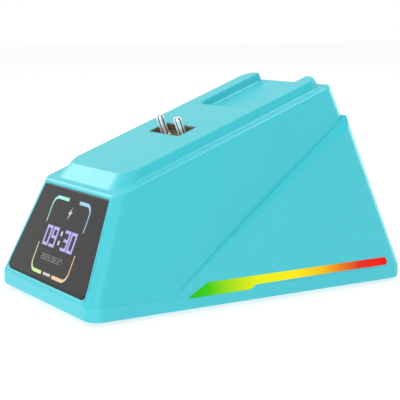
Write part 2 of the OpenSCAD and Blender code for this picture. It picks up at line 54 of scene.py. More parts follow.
# ---- driving dimensions of the dock: lengths in millimetres, angles given in degrees ----
FRONT, REAR = -61.0, 61.0
BASE_Z, CREASE_Z = 1.0, 5.6
BASE_HW, TOP_HW = 34.2, 26.5
HOUSING_REAR = REAR - 0.7
CORNER_R = 5.0
WALL = 2.2
TOP_Y, TOP_Z, TOP_LEN = -47.7, 36.9, 88.1
TOP_ANGLE = math.radians(20.8)
FACE_TILT = math.atan2(TOP_Y - FRONT, TOP_Z - CREASE_Z)
SEAM_ANGLE, SEAM_Y = math.radians(36.3), FRONT + 28.6
SIDE_LEAN, REAR_LEAN = math.radians(4.3), math.radians(22.2)
PLAT_HW, PLAT_H, PLAT_START = 20.6, 3.1, 7.6
PLAT_SPREAD, PLAT_RUN = 2.1, 5.4         # how far the walls run out at the sides and in front
TROUGH_HW, TROUGH_START = 13.6, 59.3
CONTACT_S, PIN_X, PIN_R, PIN_TIP = 38.9, 5.65, 1.4, 8.0
BARREL_R, BARREL_TOP, BARREL_LOW = 2.3, 0.9, -6
HOLE_R, HOLE_LOW, HOLE_TOP = 2.34, -9, 0.8
OPENING = (9.9, 3.8)
SEAM_LAP = 0.5                           # how far the housing runs on past the seam
WINDOW_SEAT, WINDOW_RIM = 1.75, 0.5      # depth of the window's seat, and radius of its rim
PORT_Z, PORT_HW, PORT_HH, PORT_R = 13.3, 4.7, 1.85, 1.8
BUTTON_X, BUTTON_R, BUTTON_MOUTH_R = 14.0, 2.4, 2.5
FOOT_X, FOOT_Y, FOOT_HW, FOOT_HD, FOOT_R = 24.5, 50.5, 6, 8, 5
FLOOR_T = 2.4


def top(x, s, h):
    """Point on the sloped top: s runs up the slope from its front edge, h along its normal."""
    c, n = math.cos(TOP_ANGLE), math.sin(TOP_ANGLE)
    return Vector((x, TOP_Y + s * c - h * n, TOP_Z + s * n + h * c))


def face(x, f, depth=0.0):
    """Point on the display face: f runs up the face from the skirt, depth goes into the dock."""
    c, n = math.cos(FACE_TILT), math.sin(FACE_TILT)
    return Vector((x, FRONT + f * n + depth * c, CREASE_Z + f * c - depth * n))


def cowl_x(z):
    return BASE_HW - (z - CREASE_Z) * math.tan(SIDE_LEAN)


# ---- outlines ----
def lerp(a, b, t):
    return a + (b - a) * t


def arc2(cx, cy, r, start, n):
    angles = [math.radians(start + 90 * i / n) for i in range(n + 1)]
    return [Vector((cx + r * math.cos(a), cy + r * math.sin(a))) for a in angles]


def circle(r, n=48):
    return [Vector((r * math.cos(a), r * math.sin(a)))
            for a in [2 * math.pi * k / n for k in range(n)]]


def between(p, q, n):
    return [lerp(Vector(p), Vector(q), i / n) for i in range(1, n)]


SIDE_N, CORNER_N, END_N = 28, 10, 4


def rounded(hw, y0, y1, r, side=SIDE_N, corner=CORNER_N, end=END_N):
    """Rounded rectangle, counter-clockwise from the front end of the right side's front corner."""
    return (arc2(hw - r, y0 + r, r, -90, corner) + between((hw, y0 + r), (hw, y1 - r), side)
            + arc2(hw - r, y1 - r, r, 0, corner) + between((hw - r, y1), (r - hw, y1), end)
            + arc2(r - hw, y1 - r, r, 90, corner) + between((-hw, y1 - r), (-hw, y0 + r), side)
            + arc2(r - hw, y0 + r, r, 180, corner) + between((r - hw, y0), (hw - r, y0), end))


def rounded_polygon(points, radii, n=6, spans=None):
    """Straight-sided outline with each corner rounded; spans gives extra points on each side."""
    points = [Vector(p) for p in points]
    count, out = len(points), []
    spans = spans or [1] * count
    for i, b in enumerate(points):
        u, v = (points[i - 1] - b).normalized(), (points[(i + 1) % count] - b).normalized()
        half = math.acos(max(-1, min(1, u.dot(v)))) / 2
        centre = b + (u + v).normalized() * radii[i] / math.sin(half)
        p = b + u * radii[i] / math.tan(half) - centre
        q = b + v * radii[i] / math.tan(half) - centre
        if out and spans[i - 1] > 1:
            out += between(out[-1], centre + p, spans[i - 1])
        out += [centre + lerp(p, q, k / n).normalized() * radii[i] for k in range(n + 1)]
    if spans[-1] > 1:
        out += between(out[-1], out[0], spans[-1])
    return out


def grow(points, by):
    """Polygon, counter-clockwise, with every side moved outwards."""
    points, out = [Vector(p) for p in points], []
    for i, b in enumerate(points):
        u, v = (points[i - 1] - b).normalized(), (points[(i + 1) % len(points)] - b).normalized()
        half = math.acos(max(-1, min(1, u.dot(v)))) / 2
        out.append(b - (u + v).normalized() * by / math.sin(half))
    return out


def fillet(corner, back, ahead, along, radius, n):
    """Arc that rounds an edge: from the side that runs `back` to the side that runs `ahead`."""
    b, f = back - along * back.dot(along), ahead - along * ahead.dot(along)
    half = b.angle(f) / 2
    d = radius / math.tan(half)
    p, q, w = corner + back * (d / b.length), corner + ahead * (d / f.length), math.sin(half)
    out = []
    for i in range(n + 1):
        t = i / n
        k = (1 - t) ** 2, 2 * t * (1 - t) * w, t * t
        out.append((p * k[0] + corner * k[1] + q * k[2]) / sum(k))
    return out


def tangents(loop):
    n = len(loop)
    return [(loop[(i + 1) % n] - loop[i - 1]).normalized() for i in range(n)]


# ---- building meshes ----
class Skin:
    """A mesh in the making, in millimetres."""

    def __init__(self):
        self.bm = bmesh.new()

    def verts(self, points):
        return [self.bm.verts.new(p) for p in points]

    def strip(self, a, b, skip=()):
        n = len(a)
        for i in range(n):
            if i not in skip:
                self.bm.faces.new((a[i], a[(i + 1) % n], b[(i + 1) % n], b[i]))

    def rows(self, loops, skip=()):
        for a, b in zip(loops, loops[1:]):
            self.strip(a, b, skip)

    def flat(self, loops, u, v):
        """Fills a flat region; the first loop bounds it and the others are holes in it."""
        flat2 = [[Vector((p.co.dot(u), p.co.dot(v), 0)) for p in loop] for loop in loops]
        everyone = [p for loop in loops for p in loop]
        for tri in tessellate_polygon(flat2):
            try:
                self.bm.faces.new([everyone[i] for i in tri])
            except ValueError:
                pass                     # a triangle that is there already is left out

    def solid(self, rings):
        """Closed solid through rings of points, with a flat cap at each end."""
        loops = [self.verts(r) for r in rings]
        self.rows(loops)
        self.bm.faces.new(loops[0])
        self.bm.faces.new(loops[-1])

    def recess(self, outline, place, rim, depth, u, v):
        """Flat-bottomed recess with a rounded rim. outline(by) is its outline grown by a distance.
        Returns the loop where the rim meets the surface round it."""
        steps = [math.radians(22.5 * k) for k in range(5)]
        loops = [self.verts([place(p.x, p.y, rim * (1 - math.cos(a)))
                             for p in outline(rim * (1 - math.sin(a)))]) for a in steps]
        loops.append(self.verts([place(p.x, p.y, depth) for p in outline(0)]))
        self.rows(loops)
        self.flat([loops[-1]], u, v)
        return loops[0]

    def cut(self, point, normal):
        """Keeps what lies behind a plane, and closes the cut."""
        geom = self.bm.verts[:] + self.bm.edges[:] + self.bm.faces[:]
        done = bmesh.ops.bisect_plane(self.bm, geom=geom, dist=1e-5, plane_co=point,
                                      plane_no=normal, clear_outer=True)
        edges = [e for e in done["geom_cut"] if isinstance(e, bmesh.types.BMEdge)]
        bmesh.ops.contextual_create(self.bm, geom=edges)

    def mesh(self, name):
        bmesh.ops.remove_doubles(self.bm, verts=self.bm.verts, dist=1e-4)
        bmesh.ops.recalc_face_normals(self.bm, faces=self.bm.faces)
        bmesh.ops.scale(self.bm, vec=(MM, MM, MM), verts=self.bm.verts)
        data = bpy.data.meshes.new(name)
        self.bm.to_mesh(data)
        self.bm.free()
        return data


def add(name, data, material=None, sharp=32, weighted=True):
    obj = bpy.data.objects.new(name, data)
    bpy.context.scene.collection.objects.link(obj)
    if material:
        data.materials.append(material)
    data.shade_smooth()
    data.set_sharp_from_angle(angle=math.radians(sharp))
    if weighted:
        obj.modifiers.new("even", "WEIGHTED_NORMAL").keep_sharp = True
    return obj


def carve(data, cutters):
    """The mesh with the cutter meshes taken out of it."""
    obj = bpy.data.objects.new("blank", data)
    bpy.context.scene.collection.objects.link(obj)
    tools = []
    for cutter in cutters:
        tool = bpy.data.objects.new("cutter", cutter)
        bpy.context.scene.collection.objects.link(tool)
        tools.append(tool)
        mod = obj.modifiers.new("cut", "BOOLEAN")
        mod.operation, mod.solver, mod.object = "DIFFERENCE", "EXACT", tool
    out = bpy.data.meshes.new_from_object(obj.evaluated_get(bpy.context.evaluated_depsgraph_get()))
    for o in [obj] + tools:
        bpy.data.objects.remove(o)
    return out


def soften(data, width, rules, segments=3):
    """The mesh with a bevel on its sharp edges; rules(edge) gives each edge's share of width."""
    bm = bmesh.new()
    bm.from_mesh(data)
    weights, name = bm.edges.layers.float, "bevel_weight_edge"
    layer = weights.get(name) or weights.new(name)
    for edge in bm.edges:
        edge[layer] = rules(edge) if len(edge.link_faces) == 2 else 0
    bm.to_mesh(data)
    bm.free()
    obj = bpy.data.objects.new("blank", data)
    bpy.context.scene.collection.objects.link(obj)
    mod = obj.modifiers.new("round", "BEVEL")
    mod.width, mod.segments, mod.limit_method = width * MM, segments, "WEIGHT"
    mod.use_clamp_overlap = True
    out = bpy.data.meshes.new_from_object(obj.evaluated_get(bpy.context.evaluated_depsgraph_get()))
    bpy.data.objects.remove(obj)
    return out


def lathe(name, profile, origin, axis, material, count=48):
    """Solid of revolution; profile is (radius, distance along the axis) pairs."""
    skin = Skin()
    axis = axis.normalized()
    u = axis.orthogonal().normalized()
    v = axis.cross(u)
    loops = [skin.verts([origin + axis * d + u * p.x + v * p.y for p in circle(r, count)])
             for r, d in profile]
    skin.rows(loops)
    if profile[0] != profile[-1]:
        skin.bm.faces.new(loops[0])
        skin.bm.faces.new(loops[-1])
    return add(name, skin.mesh(name), material)


# ---- materials ----
def linear(r, g, b):
    return tuple((c / 12.92 if c <= 0.04045 else ((c + 0.055) / 1.055) ** 2.4)
                 for c in (r / 255, g / 255, b / 255)) + (1.0,)


class Finish:
    """A procedural material: a shader whose colour varies a little and whose surface has a grain."""

    def __init__(self, name, colour, rough, metallic=0.0, ior=1.45, grain=0.0, grain_scale=2500,
                 drift=0.03, rough_drift=0.04):
        self.mat = bpy.data.materials.new(name)
        self.mat.use_nodes = True
        self.nodes, self.links = self.mat.node_tree.nodes, self.mat.node_tree.links
        self.shader = self.nodes["Principled BSDF"]
        self.shader.inputs["Metallic"].default_value = metallic
        self.shader.inputs["IOR"].default_value = ior
        self.place = self.nodes.new("ShaderNodeTexCoord").outputs["Object"]
        broad = self.noise(90, 3)
        self.ramp = self.nodes.new("ShaderNodeValToRGB")
        low, high = self.ramp.color_ramp.elements
        low.position, high.position = 0.3, 0.7
        low.color = [c * (1 - drift) for c in colour[:3]] + [1]
        high.color = [min(1, c * (1 + drift)) for c in colour[:3]] + [1]
        self.links.new(broad, self.ramp.inputs["Fac"])
        self.links.new(self.ramp.outputs["Color"], self.shader.inputs["Base Color"])
        fine = self.noise(grain_scale, 2)
        spread = self.nodes.new("ShaderNodeMapRange")
        spread.inputs["To Min"].default_value = max(0.02, rough - rough_drift)
        spread.inputs["To Max"].default_value = min(1, rough + rough_drift)
        self.links.new(fine, spread.inputs["Value"])
        self.links.new(spread.outputs["Result"], self.shader.inputs["Roughness"])
        if grain:
            bump = self.nodes.new("ShaderNodeBump")
            bump.inputs["Strength"].default_value = grain
            bump.inputs["Distance"].default_value = 0.00005
            self.links.new(fine, bump.inputs["Height"])
            self.links.new(bump.outputs["Normal"], self.shader.inputs["Normal"])

    def noise(self, scale, detail):
        node = self.nodes.new("ShaderNodeTexNoise")
        node.inputs["Scale"].default_value = scale
        node.inputs["Detail"].default_value = detail
        self.links.new(self.place, node.inputs["Vector"])
        return node.outputs["Fac"]

    def glow(self, colour, strength=1.0):
        self.shader.inputs["Emission Color"].default_value = colour
        self.shader.inputs["Emission Strength"].default_value = strength
        return self


AQUA = (0.056, 0.57, 0.65, 1)
aqua = Finish("aqua_plastic", AQUA, 0.34, grain=0.25, drift=0.015)
smoked = Finish("smoked_window", (0.006, 0.006, 0.0065, 1), 0.07, ior=1.5, drift=0.1,
                rough_drift=0.015)
border = Finish("window_border", (0.002, 0.002, 0.002, 1), 0.35, ior=1.3, drift=0.1)
brown = Finish("contact_insert", linear(98, 88, 68), 0.5, grain=0.3, drift=0.1)
# contact pins: the near-white base colour on a half-metal finish is painted reflection of the white
# studio in the polished metal, and the dark streaks added below are painted reflection too
chrome = Finish("polished_contact", (0.95, 0.95, 0.96, 1), 0.16, metallic=0.45, drift=0.02,
                rough_drift=0.02)
rim_metal = Finish("contact_rim", (0.80, 0.72, 0.60, 1), 0.2, metallic=1.0, drift=0.03,
                   rough_drift=0.03)
foot_rubber = Finish("foot_rubber", linear(62, 64, 66), 0.75, grain=0.5, drift=0.08)
button_grey = Finish("button_grey", linear(214, 220, 222), 0.35, grain=0.15)


def lit(name, colour):
    """A part of the display that shines in one colour, given as sRGB values."""
    return Finish(name, (0.02, 0.02, 0.02, 1), 0.4, ior=1.3).glow(linear(*colour), 1.0)


# ---- main housing ----
seam_normal = Vector((0, -math.sin(SEAM_ANGLE), math.cos(SEAM_ANGLE)))
seam_point = Vector((0, SEAM_Y, CREASE_Z))
top_normal = top(0, 0, 1) - top(0, 0, 0)
slope = top(0, 1, 0) - top(0, 0, 0)
face_up = face(0, 1) - face(0, 0)


def edge_radius(s):
    """Radius of the sloped top's edge: small at the rear, where the rails end."""
    return lerp(1.3, 0.6, max(0, min(1, (s - (TOP_LEN - 4)) / 4)))


WINDOW = [(-29.4, 1.7), (29.4, 1.7), (22.9, 32.55), (-22.9, 32.55)]
WINDOW_R = [2.6, 2.6, 1.9, 1.9]


def window_outline(by):
    return rounded_polygon(grow(WINDOW, by), [r + by for r in WINDOW_R])


def opening_outline(by):
    w, d = OPENING[0] + by, OPENING[1] + by
    points = [(-w, CONTACT_S - d), (w, CONTACT_S - d), (w, CONTACT_S + d), (-w, CONTACT_S + d)]
    return rounded_polygon(points, [0.8 + by] * 4)


def platform_outline(side, front, rear, inner, trough, radii):
    """Outline of the platform and its two rear rails."""
    points = [(-side, front), (side, front), (side, rear), (inner, rear),
              (inner, trough), (-inner, trough), (-inner, rear), (-side, rear)]
    r_front, r_outer, r_inner, r_trough = radii
    rounds = [r_front, r_front, r_outer, r_inner, r_trough, r_trough, r_inner, r_outer]
    return rounded_polygon(points, rounds, 8, [8, 24, 1, 12, 6, 12, 1, 24])


def build_housing():
    """Twisted sides between the skirt's outline and the sloped top's, then face and platform."""
    skin = Skin()
    ring2 = rounded(TOP_HW, 0, TOP_LEN, CORNER_R - 1)
    low = [Vector((p.x, p.y, CREASE_Z)) for p in rounded(BASE_HW, FRONT, HOUSING_REAR, CORNER_R)]
    high = [top(p.x, p.y, 0) for p in ring2]
    arcs = [fillet(t, b - t, top_normal.cross(a), a, edge_radius(p.y), 5)
            for t, b, a, p in zip(high, low, tangents(high), ring2)]
    n_rows = 8
    loops = [skin.verts([lerp(b, arc[0], k / n_rows) for b, arc in zip(low, arcs)])
             for k in range(n_rows)]
    loops += [skin.verts([arc[k] for arc in arcs]) for k in range(6)]
    count, front = len(ring2), len(ring2) - END_N
    skin.rows(loops[:n_rows + 1], skip=range(front, count))
    skin.rows(loops[n_rows:])
    skin.bm.faces.new(loops[0])
    # front face, with the window's seat
    edge = (loops[0][front:] + [row[0] for row in loops[:n_rows]]
            + [loops[n_rows][0]] + loops[n_rows][:front - 1:-1]
            + [row[front] for row in loops[n_rows - 1:0:-1]])
    seat = skin.recess(lambda by: window_outline(by + 0.1), face, WINDOW_RIM, WINDOW_SEAT, X,
                       face_up)
    skin.flat([edge, seat], X, face_up)
    # platform with its drafted walls
    upper = platform_outline(PLAT_HW, PLAT_START, TOP_LEN - 1.0, TROUGH_HW + 0.25,
                             TROUGH_START - 0.3, (6, 5, 0.8, 3))
    lower = platform_outline(PLAT_HW + PLAT_SPREAD, PLAT_START - PLAT_RUN, TOP_LEN - 0.8,
                             TROUGH_HW - 0.15, TROUGH_START + 0.5, (7, 5.4, 1.1, 2.8))
    crest = [top(p.x, p.y, PLAT_H) for p in upper]
    foot = [top(p.x, p.y, 0) for p in lower]
    walls = []
    for c, f, a, b, p in zip(crest, foot, tangents(crest), tangents(foot), lower):
        inside = abs(p.x) < TROUGH_HW + 0.6 and p.y > TROUGH_START - 2
        root = 0.3 if p.y > TOP_LEN - 3 else 1.5 if inside else 1.2
        walls.append(fillet(c, top_normal.cross(a), f - c, a, 0.8, 4)
                     + fillet(f, c - f, -top_normal.cross(b), b, root, 4))
    bands = [skin.verts([w[k] for w in walls]) for k in range(10)]
    skin.rows(bands)
    mouth = skin.recess(opening_outline, lambda x, s, d: top(x, s, PLAT_H - d), 0.2, PLAT_H + 1.2,
                        X, slope)
    skin.flat([bands[0], mouth], X, slope)
    skin.flat([loops[-1], bands[-1]], X, slope)
    bmesh.ops.recalc_face_normals(skin.bm, faces=skin.bm.faces)
    skin.cut(seam_point - seam_normal * SEAM_LAP, -seam_normal)
    return skin.mesh("main_housing_look")


def inner_wedge():
    """The hollow inside the housing and the cowl."""
    skin = Skin()
    run = WALL / math.cos(FACE_TILT)
    start = WALL * math.tan((math.pi / 2 - FACE_TILT - TOP_ANGLE) / 2)
    low = rounded(BASE_HW - WALL, FRONT + run, HOUSING_REAR - run, CORNER_R - WALL / 2)
    high = rounded(TOP_HW - WALL, start, TOP_LEN - WALL, CORNER_R - 1 - WALL / 2)
    skin.solid([[Vector((p.x, p.y, CREASE_Z - 1)) for p in low],
                [top(p.x, p.y, -WALL) for p in high]])
    return skin.mesh("hollow")


def barrel_holes():
    """Cutters for the holes that the two contact barrels stand in."""
    holes = []
    for x in (-PIN_X, PIN_X):
        skin = Skin()
        skin.solid([[top(x + p.x, CONTACT_S + p.y, h) for p in circle(HOLE_R)]
                    for h in (HOLE_LOW, HOLE_TOP)])
        holes.append(skin.mesh("hole"))
    return holes


housing = add("main_housing_look", carve(build_housing(), [inner_wedge()] + barrel_holes()), aqua.mat)
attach(housing, "dock")
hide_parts("main_housing")

# ---- light bars: pointed and deep at the front, narrow to the rear ----
BAR_T, BAR_PROUD = 2.7, 0.15
BAR_TIP, BAR_TAIL = FRONT + 33.4, FRONT + 114.6
BAR_LOW, BAR_STEP, BAR_TOP = CREASE_Z - 0.95, 6.2, 8.8
BAR = [(BAR_TIP, BAR_LOW), (BAR_TIP + 23.6, BAR_LOW), (BAR_TIP + 25.9, BAR_STEP),
       (BAR_TAIL, BAR_STEP), (BAR_TAIL - 1.2, BAR_TOP), (BAR_TIP + 7.6, BAR_TOP)]
BAR_R = [0.12, 0.9, 0.9, 0.7, 0.7, 1.2]


def bar_outline(by):
    return rounded_polygon(grow(BAR, by), [max(0.05, r + by) for r in BAR_R], 5)


def bar_prism(side):
    skin = Skin()
    outline = bar_outline(0.08)
    skin.solid([[Vector((side * x, p.x, p.y)) for p in outline]
                for x in (BASE_HW - BAR_T - 0.1, BASE_HW + 4)])
    return skin.mesh("slot")


def rear_prism(outline, y0, y1):
    skin = Skin()
    skin.solid([[Vector((p.x, y, p.y)) for p in outline] for y in (y0, y1)])
    return skin.mesh("mouth")


# ---- rear cowl ----
BEVEL_HIGH = Vector((28.2, REAR - 27.8, 53.9))
BEVEL_LOW = Vector((30.8, REAR - 28.3, 50.1))
SEAM_LOW = Vector((BASE_HW, SEAM_Y, CREASE_Z))
SHOULDER, SHOULDER_TILT = Vector((0, REAR - 22.2, 58)), math.radians(50)
COWL_RISE, COWL_ROUND = 55, 0.45         # height that the form is drawn to, and its edges' radius


def build_cowl():
    skin = Skin()
    low = rounded(BASE_HW, FRONT, REAR, CORNER_R)
    high = rounded(BASE_HW - COWL_RISE * math.tan(SIDE_LEAN), FRONT,
                   REAR - COWL_RISE * math.tan(REAR_LEAN), CORNER_R)
    skin.solid([[Vector((p.x, p.y, CREASE_Z)) for p in low],
                [Vector((p.x, p.y, CREASE_Z + COWL_RISE)) for p in high]])
    bmesh.ops.recalc_face_normals(skin.bm, faces=skin.bm.faces)
    skin.cut(seam_point, seam_normal)
    normal = (BEVEL_LOW - SEAM_LOW).cross(BEVEL_HIGH - SEAM_LOW).normalized()
    for side in (1, -1):
        skin.cut(Vector((side * SEAM_LOW.x, SEAM_LOW.y, SEAM_LOW.z)),
                 Vector((side * normal.x, normal.y, normal.z)))
    skin.cut(SHOULDER, Vector((0, math.sin(SHOULDER_TILT), math.cos(SHOULDER_TILT))))
    return skin.mesh("rear_cowl_look")


def cowl_share(edge):
    """Full rounding on the cowl's outer edges, little where it meets the skirt, none on its curves."""
    if edge.calc_face_angle(0) < math.radians(17):
        return 0
    low = max(v.co.z for v in edge.verts) < (CREASE_Z + 0.05) * MM
    return 0.25 if low else 1


port_mouth = [Vector((x, z + PORT_Z)) for x, z in rounded_polygon(
    [(-PORT_HW, -PORT_HH), (PORT_HW, -PORT_HH), (PORT_HW, PORT_HH), (-PORT_HW, PORT_HH)],
    [PORT_R] * 4, 8)]
button_mouth = [Vector((BUTTON_X + p.x, PORT_Z + p.y)) for p in circle(BUTTON_MOUTH_R)]
cowl_cuts = [inner_wedge(), bar_prism(1), bar_prism(-1)]
cowl_cuts += [rear_prism(mouth, REAR - 12, REAR + 2) for mouth in (port_mouth, button_mouth)]
cowl = add("rear_cowl_look", carve(soften(build_cowl(), COWL_ROUND, cowl_share), cowl_cuts),
           aqua.mat)
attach(cowl, "dock")
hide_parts("rear_cowl")


# ---- base cover ----
def build_base():
    skin = Skin()
    rings = []
    for inset, z in [(0.75, BASE_Z), (0.42, BASE_Z + 0.05), (0.16, BASE_Z + 0.2),
                     (0.03, BASE_Z + 0.45), (0, BASE_Z + 0.75), (0, CREASE_Z - 0.12),
                     (0.03, CREASE_Z - 0.04), (0.12, CREASE_Z)]:
        rings.append([Vector((p.x, p.y, z)) for p in rounded(
            BASE_HW - inset, FRONT + inset, REAR - inset, CORNER_R - inset)])
    skin.solid(rings)
    return skin.mesh("base_cover_look")


def foot_ring(by, z, x, y):
    outline = rounded(FOOT_HW + by, -FOOT_HD - by, FOOT_HD + by, FOOT_R + by, 2, 8, 2)
    return [Vector((x + p.x, y + p.y, z)) for p in outline]


def base_cavity():
    skin = Skin()
    outline = rounded(BASE_HW - WALL, FRONT + WALL, REAR - WALL, CORNER_R - WALL)
    skin.solid([[Vector((p.x, p.y, z)) for p in outline] for z in (BASE_Z + FLOOR_T, CREASE_Z + 2)])
    return skin.mesh("cavity")


def foot_seats():
    seats = []
    for x in (-FOOT_X, FOOT_X):
        for y in (-FOOT_Y, FOOT_Y):
            skin = Skin()
            skin.solid([foot_ring(0.1, z, x, y) for z in (BASE_Z - 1, BASE_Z + 1)])
            seats.append(skin.mesh("seat"))
    return seats


base_cuts = [base_cavity(), bar_prism(1), bar_prism(-1)] + foot_seats()
base = add("base_cover_look", carve(build_base(), base_cuts), aqua.mat)
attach(base, "dock")
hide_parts("base_cover")

for ends, y in (("front", -FOOT_Y), ("rear", FOOT_Y)):
    for side, x in (("left", -FOOT_X), ("right", FOOT_X)):
        skin = Skin()
        skin.solid([foot_ring(by, z, x, y) for by, z in
                    [(-0.7, 0), (-0.35, 0.06), (-0.1, 0.25), (0, 0.6), (0, BASE_Z + 0.98)]])
        foot_pad = add(f"foot_pad_{ends}_{side}", skin.mesh("foot_pad"), foot_rubber.mat)
        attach(foot_pad, "dock")
        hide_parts(f"foot_{ends}_{side}")

# ---- light guides ----
glow_bar = Finish("lit_guide", (0.01, 0.01, 0.01, 1), 0.35, ior=1.12, drift=0.1)
split = glow_bar.nodes.new("ShaderNodeSeparateXYZ")
glow_bar.links.new(glow_bar.place, split.inputs["Vector"])
run = glow_bar.nodes.new("ShaderNodeMapRange")
run.inputs["From Min"].default_value = BAR_TIP * MM
run.inputs["From Max"].default_value = BAR_TAIL * MM
glow_bar.links.new(split.outputs["Y"], run.inputs["Value"])
hues = glow_bar.nodes.new("ShaderNodeValToRGB")
stops = [(0.0, (35, 195, 0)), (0.09, (55, 205, 0)), (0.2, (165, 228, 0)), (0.32, (235, 242, 0)),
         (0.5, (255, 240, 0)), (0.64, (250, 200, 15)), (0.74, (238, 130, 15)), (0.84, (228, 45, 8)),
         (0.95, (250, 10, 0)), (1.0, (225, 8, 5))]
elements = hues.color_ramp.elements
while len(elements) < len(stops):
    elements.new(0.5)
for element, (place, colour) in zip(elements, stops):
    element.position, element.color = place, linear(*colour)
glow_bar.links.new(run.outputs["Result"], hues.inputs["Fac"])
glow_bar.links.new(hues.outputs["Color"], glow_bar.shader.inputs["Emission Color"])
glow_bar.shader.inputs["Emission Strength"].default_value = 0.97

for side, name in ((1, "right"), (-1, "left")):
    skin = Skin()
    rings = []
    for inset, back in [(0.18, 0), (0.05, 0.05), (0, 0.18)]:
        rings.append([Vector((side * (cowl_x(p.y) + BAR_PROUD - back), p.x, p.y))
                      for p in bar_outline(-inset)])
    rings.append([Vector((side * (BASE_HW - BAR_T), p.x, p.y)) for p in bar_outline(0)])
    skin.solid(rings)
    guide = add(f"light_guide_{name}_look", skin.mesh("guide"), glow_bar.mat)
    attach(guide, "dock")
    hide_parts(f"light_guide_{name}")

# ---- display window and what it shows ----
skin = Skin()
skin.solid([[face(p.x, p.y, depth) for p in window_outline(-inset)]
            for inset, depth in [(0.22, 0), (0.06, 0.06), (0, 0.22), (0, 1.6)]])
window = add("display_window_look", skin.mesh("window"), smoked.mat)
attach(window, "dock")
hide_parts("display_window")


def prisms(name, outlines, material, high=-0.03, low=0.3):
    """Thin raised shapes on the window. Each outline is a list of (x, f) points."""
    skin = Skin()
    for outline in outlines:
        a = skin.verts([face(x, f, high) for x, f in outline])
        b = skin.verts([face(x, f, low) for x, f in outline])
        skin.strip(a, b)
        skin.flat([a], X, face_up)
        skin.flat([b], X, face_up)
    piece = add(name, skin.mesh(name), material, weighted=False)
    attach(piece, "dock")
    return piece


skin = Skin()
ring_a, ring_b = window_outline(-0.22), window_outline(-0.6)
frame_loops = [skin.verts([face(p.x, p.y, d) for p in r]) for r, d in
               [(ring_a, 0.2), (ring_a, -0.01), (ring_b, -0.01), (ring_b, 0.2)]]
skin.rows(frame_loops + [frame_loops[0]])
window_border = add("window_border", skin.mesh("border"), border.mat)
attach(window_border, "dock")


def box(x0, x1, f0, f1):
    return [(x0, f0), (x1, f0), (x1, f1), (x0, f1)]


SEGMENTS = {"0": "abcdef", "2": "abged", "3": "abgcd", "5": "afgcd", "7": "abc", "9": "abcdfg"}


def digit(char, x, f, w, h, t):
    """Seven-segment digit, its lower left corner at (x, f), of bars that meet edge to edge."""
    segments = SEGMENTS[char]
    mid, half = f + h / 2, t / 2
    places = {
        "a": (x, x + w, f + h - t, f + h), "d": (x, x + w, f, f + t),
        "g": (x + t, x + w - t, mid - half, mid + half),
        "f": (x, x + t, mid + half, f + h - t), "e": (x, x + t, f + t, mid - half),
        "b": (x + w - t, x + w, mid + half, f + h - t),
        "c": (x + w - t, x + w, f + t, mid - half)}
    out = [box(*places[s]) for s in segments]
    left = "f" in segments or "e" in segments
    right = "b" in segments or "c" in segments
    if left and ("g" in segments or ("f" in segments and "e" in segments)):
        out.append(box(x, x + t, mid - half, mid + half))
    if right and ("g" in segments or ("b" in segments and "c" in segments)):
        out.append(box(x + w - t, x + w, mid - half, mid + half))
    if char == "3":
        out.append(box(x + t * 0.7, x + t, mid - half, mid + half))
    return out


CLOCK_F, CLOCK_H, CLOCK_T, CLOCK_W = 13.0, 6.75, 0.98, 3.95
clock = []
for char, x in (("0", -10.25), ("9", -5.6), ("3", 2.85), ("0", 7.35)):
    clock += digit(char, x, CLOCK_F, CLOCK_W, CLOCK_H, CLOCK_T)
prisms("clock_digits", clock, lit("lit_clock", (186, 172, 240)).mat)
COLON_X, COLON_W, COLON_H = 0.2, 1.1, 1.5
colon = [box(COLON_X, COLON_X + COLON_W, f, f + COLON_H) for f in (17.4, 14.3)]
prisms("clock_colon", colon, lit("lit_white", (214, 208, 224)).mat)

DATE_X, DATE_F, DATE_H, DATE_W, DATE_T = -7.6, 8.5, 1.95, 1.3, 0.3
DATE_DOT, DOT_STEP, DIGIT_STEP = 0.35, 0.75, 1.72
date = []
x = DATE_X
for char in "2025.02.27":
    if char == ".":
        date.append(box(x, x + DATE_DOT, DATE_F, DATE_F + DATE_DOT))
        x += DOT_STEP
    else:
        date += digit(char, x, DATE_F, DATE_W, DATE_H, DATE_T)
        x += DIGIT_STEP
prisms("date_digits", date, lit("lit_date", (128, 122, 128)).mat)

bolt = [(0.55, 22.9), (2.75, 25.6), (1.45, 25.75), (2.35, 27.4), (0.2, 24.9), (1.35, 24.75)]
icon = lit("lit_icon", (205, 200, 200))
prisms("charge_icon", [bolt], icon.mat)
prisms("ring_tab", [box(-2.4, 2.7, 3.95, 4.85)], icon.mat)

RING_X, RING_F, RING_HW, RING_HH, RING_R = 0.75, 16.75, 13.25, 12.45, 3.2
THICK, THIN, LEG_END = 0.55, 0.24, 0.2   # half widths along a bracket


def bracket(right, upper, run_to, leg_to):
    """One quarter of the ring: a thick run beside the gap, thinning round the corner to a leg."""
    sx, sf = (1 if right else -1), (1 if upper else -1)
    path = [(run_to, RING_HH, THICK), (RING_HW - RING_R, RING_HH, THICK)]
    for k in range(1, 8):
        a = math.radians(90 - 90 * k / 8)
        path.append((RING_HW - RING_R + RING_R * math.cos(a),
                     RING_HH - RING_R + RING_R * math.sin(a), lerp(THICK, THIN, k / 8)))
    path += [(RING_HW, RING_HH - RING_R, THIN), (RING_HW, leg_to, LEG_END)]
    outer, inner = [], []
    for i, (u, v, half) in enumerate(path):
        a, b = path[max(0, i - 1)], path[min(len(path) - 1, i + 1)]
        t = Vector((b[0] - a[0], b[1] - a[1])).normalized()
        outer.append((u - t.y * half, v + t.x * half))
        inner.append((u + t.y * half, v - t.x * half))
    return [(RING_X + sx * u, RING_F + sf * v) for u, v in outer + inner[::-1]]


